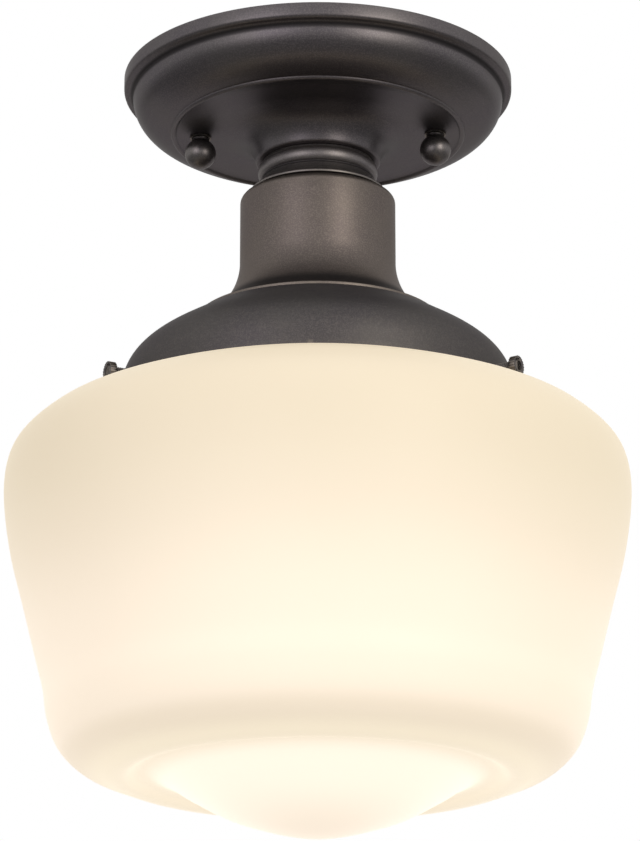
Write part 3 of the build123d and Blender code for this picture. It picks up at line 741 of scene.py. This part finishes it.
def through(points, first_way, last_way, steps):
    """A smooth curve through the points, set off and brought in along the ways given."""
    ways = [Vector(first_way) * (Vector(points[1]) - Vector(points[0])).length]
    for before, after in zip(points, points[2:]):
        ways.append((Vector(after) - Vector(before)) / 2)
    ways.append(Vector(last_way) * (Vector(points[-1]) - Vector(points[-2])).length)
    curve = []
    for i in range(len(points) - 1):
        a, b = Vector(points[i]), Vector(points[i + 1])
        span = (b - a).length
        leave = ways[i] * min(1.0, span / ways[i].length)
        arrive = ways[i + 1] * min(1.0, span / ways[i + 1].length)
        curve += bend(a, a + leave / 3, b - arrive / 3, b, steps)
    return curve


def inside(points, depth):
    """The wall's other face: each point moved in by depth, square to the run through it."""
    moved = []
    for i, point in enumerate(points):
        run = Vector(points[min(i + 1, len(points) - 1)]) - Vector(points[max(i - 1, 0)])
        run = run.normalized()
        moved.append((max(point[0] + run.y * depth, 0), point[1] - run.x * depth))
    return moved


wall = [(neck_radius, neck_top - 3.6), (neck_radius, shoulder + 1.8)]
shoulder_start = (neck_radius + 1.9, shoulder)
wall += bend(wall[-1], (neck_radius, shoulder + 0.6), (neck_radius + 0.7, shoulder), shoulder_start, 6)
wall += [(68.0, shoulder), sides[0]]
wall += through(sides, (1, 0), (-1, 0), 7)
wall += bend(sides[-1], (64.7, -259.3), (63.8, -256.6), groove_valley, 14)
wall += through(pendent, (-1, 0), (-1, 0), 16)
roll_radius, roll_height = bead_radius - bead_roll, neck_top - bead_roll
shade_section = [(neck_radius - glass, neck_top), (roll_radius, neck_top)]
for degrees in range(75, -91, -15):
    turn = radians(degrees)
    shade_section.append((roll_radius + bead_roll * cos(turn), roll_height + bead_roll * sin(turn)))
shade_section += wall
shade_section += list(reversed(inside(wall, glass)))[:-1]
shade_section.append((neck_radius - glass, neck_top))
blown_shade = turned("blown_shade", shade_section, steps=256)
smooth(blown_shade, 0.5)

opal = Finish("opal_glass")
split = opal.node("ShaderNodeSeparateXYZ", {}, {0: opal.place}).socket.node
height = Value(opal, split.outputs["Z"]) * (1 / mm)
level = opal.stretch(1 / mm, 1 / mm, 0.0)
reach = opal.node("ShaderNodeVectorMath", {"operation": "LENGTH"}, {0: level}, "Value")
milk = opal.noise(opal.place, 14.0, 2.0)
seed = opal.noise(opal.place, 420.0, 1.0)
# Painted shade where the wall turns under at the corner: the side glow is dimmed there.
corner_shade = opal.rise(height, -247.0, -252.5)
body_lit = opal.rise(height, -150.0, -232.0) * (1.0 - 0.3 * corner_shade) + 0.05 * (milk - 0.5)
below = opal.rise(reach, 85.5, 72.5) * opal.rise(height, -244.0, -252.0)
side_glow = opal.mix(body_lit, (0.46, 0.38, 0.25, 1), (0.68, 0.575, 0.455, 1))
rim_glow = opal.mix(opal.rise(reach, 76.0, 62.0), (0.70, 0.605, 0.45, 1), (0.69, 0.595, 0.455, 1))
bulge_glow = opal.mix(opal.rise(reach, 60.5, 51.0), rim_glow, (0.87, 0.77, 0.64, 1))
under_glow = opal.mix(opal.rise(reach, 48.0, 6.0), bulge_glow, (0.74, 0.63, 0.51, 1))
opal.surface(
    Base_Color=opal.mix(milk, (0.60, 0.56, 0.49, 1), (0.64, 0.60, 0.53, 1)),
    Roughness=0.44 + 0.08 * seed,
    Specular_IOR_Level=0.18,
    Emission_Color=opal.mix(below, side_glow, under_glow),
    Emission_Strength=1.0,
    Normal=opal.bump(0.7 * milk + 0.3 * seed, 0.008 * mm),
)
fit(blown_shade, opal, "shade", "opal_glass", "shade")

# ------------------------------------------------------------------------------------------------
# Room, lamps and camera
# A pale studio floor a room's height below the light, a white surround, a warm soft box to the
# right, a cooler one to the left and a low card behind. The camera looks up, as the photograph.
bpy.ops.object.select_all(action="DESELECT")
floor_height = -2.5
bpy.ops.mesh.primitive_plane_add(size=40, location=(0, 0, floor_height))
floor = bpy.context.object
floor.name = "floor"
paint = Finish("pale_floor")
paint.surface(
    Base_Color=paint.mix(paint.noise(paint.place, 3.0), (0.80, 0.80, 0.79, 1), (0.84, 0.84, 0.83, 1)),
    Roughness=0.8 + 0.1 * paint.noise(paint.place, 60.0),
)
floor.data.materials.append(paint.material)

world = bpy.data.worlds.new("surround")
bpy.context.scene.world = world
world.use_nodes = True
surround = world.node_tree
path = surround.nodes.new("ShaderNodeLightPath")
seen = path.outputs["Is Camera Ray"]
for ray in ("Is Glossy Ray", "Is Transmission Ray"):
    either = surround.nodes.new("ShaderNodeMath")
    either.operation = "MAXIMUM"
    surround.links.new(seen, either.inputs[0])
    surround.links.new(path.outputs[ray], either.inputs[1])
    seen = either.outputs[0]
ambient = surround.nodes["Background"]
ambient.inputs["Color"].default_value = (1.0, 1.0, 1.0, 1)
ambient.inputs["Strength"].default_value = 0.30
backdrop = surround.nodes.new("ShaderNodeBackground")
backdrop.inputs["Color"].default_value = (1.0, 1.0, 1.0, 1)
choose = surround.nodes.new("ShaderNodeMixShader")
surround.links.new(seen, choose.inputs["Fac"])
surround.links.new(ambient.outputs[0], choose.inputs[1])
surround.links.new(backdrop.outputs[0], choose.inputs[2])
surround.links.new(choose.outputs[0], surround.nodes["World Output"].inputs["Surface"])

middle = Vector((0, 0, -0.1295))


def soft_box(name, azimuth, elevation, distance, width, height, brightness, colour):
    """A square lamp facing the light, placed by its bearing from the camera's side."""
    lamp = bpy.data.lights.new(name, "AREA")
    lamp.shape = "RECTANGLE"
    lamp.size, lamp.size_y = width, height
    lamp.energy = brightness * pi * width * height
    lamp.color = colour
    stand = bpy.data.objects.new(name, lamp)
    bpy.context.scene.collection.objects.link(stand)
    way = Vector((
        sin(radians(azimuth)) * cos(radians(elevation)),
        -cos(radians(azimuth)) * cos(radians(elevation)),
        sin(radians(elevation)),
    ))
    stand.location = middle + way * distance
    stand.rotation_euler = way.to_track_quat("Z", "Y").to_euler()


soft_box("warm_box", 37, 11, 1.7, 0.55, 0.9, 6.6, (1.0, 0.94, 0.85))
soft_box("cool_box", -30, 10, 1.7, 0.9, 0.9, 2.4, (1.0, 0.94, 0.97))
soft_box("low_back_card", 180, -24, 1.6, 3.4, 0.8, 0.7, (1.0, 0.95, 0.98))

camera_swing = 2.5
camera_reach = 1.1841
camera_height = -0.5142
camera = bpy.data.objects.new("camera", bpy.data.cameras.new("camera"))
bpy.context.scene.collection.objects.link(camera)
camera.location = (
    camera_reach * sin(radians(camera_swing)), -camera_reach * cos(radians(camera_swing)), camera_height
)
camera.data.lens = 150.5
camera.data.sensor_width = 36
target = middle + Vector((0.8 * mm, 0, 0))
camera.rotation_euler = (target - camera.location).to_track_quat("-Z", "Y").to_euler()
camera.data.clip_start = 0.05
bpy.context.scene.camera = camera
bpy.context.scene.view_settings.view_transform = "Standard"
